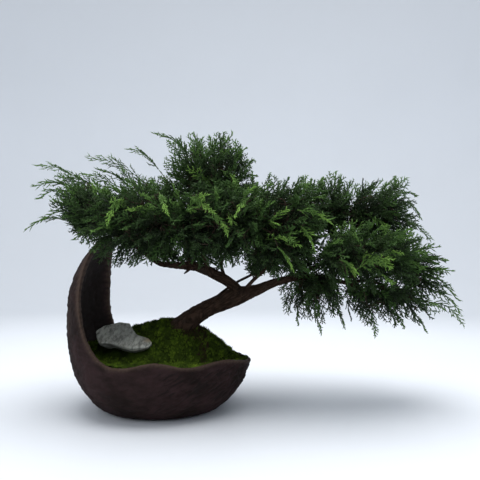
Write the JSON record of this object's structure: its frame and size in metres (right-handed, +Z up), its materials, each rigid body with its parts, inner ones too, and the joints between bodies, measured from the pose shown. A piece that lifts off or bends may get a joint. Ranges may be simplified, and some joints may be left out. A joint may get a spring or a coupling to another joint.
{
  "type": "semi-cascade chinese juniper bonsai",
  "caption": "Leaning Chinese juniper bonsai whose long crown sweeps sideways out of a crescent-shaped stoneware pot, planted in soil with a moss carpet and a flat stone.",
  "frame": {"origin": "centre of the pot's flat underside", "axes": "+Z up, +X to the right of the front view along the crown's sweep, -Y toward the viewer of the front view"},
  "size_m": [0.49, 0.195, 0.307],
  "materials": {
    "pot": "matte",
    "soil": "matte",
    "moss": "matte",
    "stone": "matte",
    "bark": "matte",
    "foliage": "matte"
  },
  "bodies": {
    "root": {"pot": "pot", "soil": "soil", "moss": "moss", "stone": "stone", "trunk": "bark", "bough_left": "bark", "bough_right_low": "bark", "bough_right_high": "bark", "bough_left_outer": "bark", "bough_left_front": "bark", "bough_left_back": "bark", "bough_apex": "bark", "bough_centre_front": "bark", "bough_centre_back": "bark", "bough_shoulder_front": "bark", "bough_shoulder_back": "bark", "bough_right_inner": "bark", "bough_hanging": "bark", "bough_right_front": "bark", "bough_right_back": "bark", "bough_right_tip": "bark", "foliage_left_outer_front": "foliage", "foliage_left_outer_back": "foliage", "foliage_left_front": "foliage", "foliage_left_back": "foliage", "foliage_apex": "foliage", "foliage_centre_front": "foliage", "foliage_centre_back": "foliage", "foliage_shoulder_front": "foliage", "foliage_shoulder_back": "foliage", "foliage_right_inner": "foliage", "foliage_right_upper": "foliage", "foliage_right_front": "foliage", "foliage_right_back": "foliage", "foliage_hanging": "foliage", "foliage_right_low": "foliage", "foliage_right_tip": "foliage"}
  },
  "joints": []
}
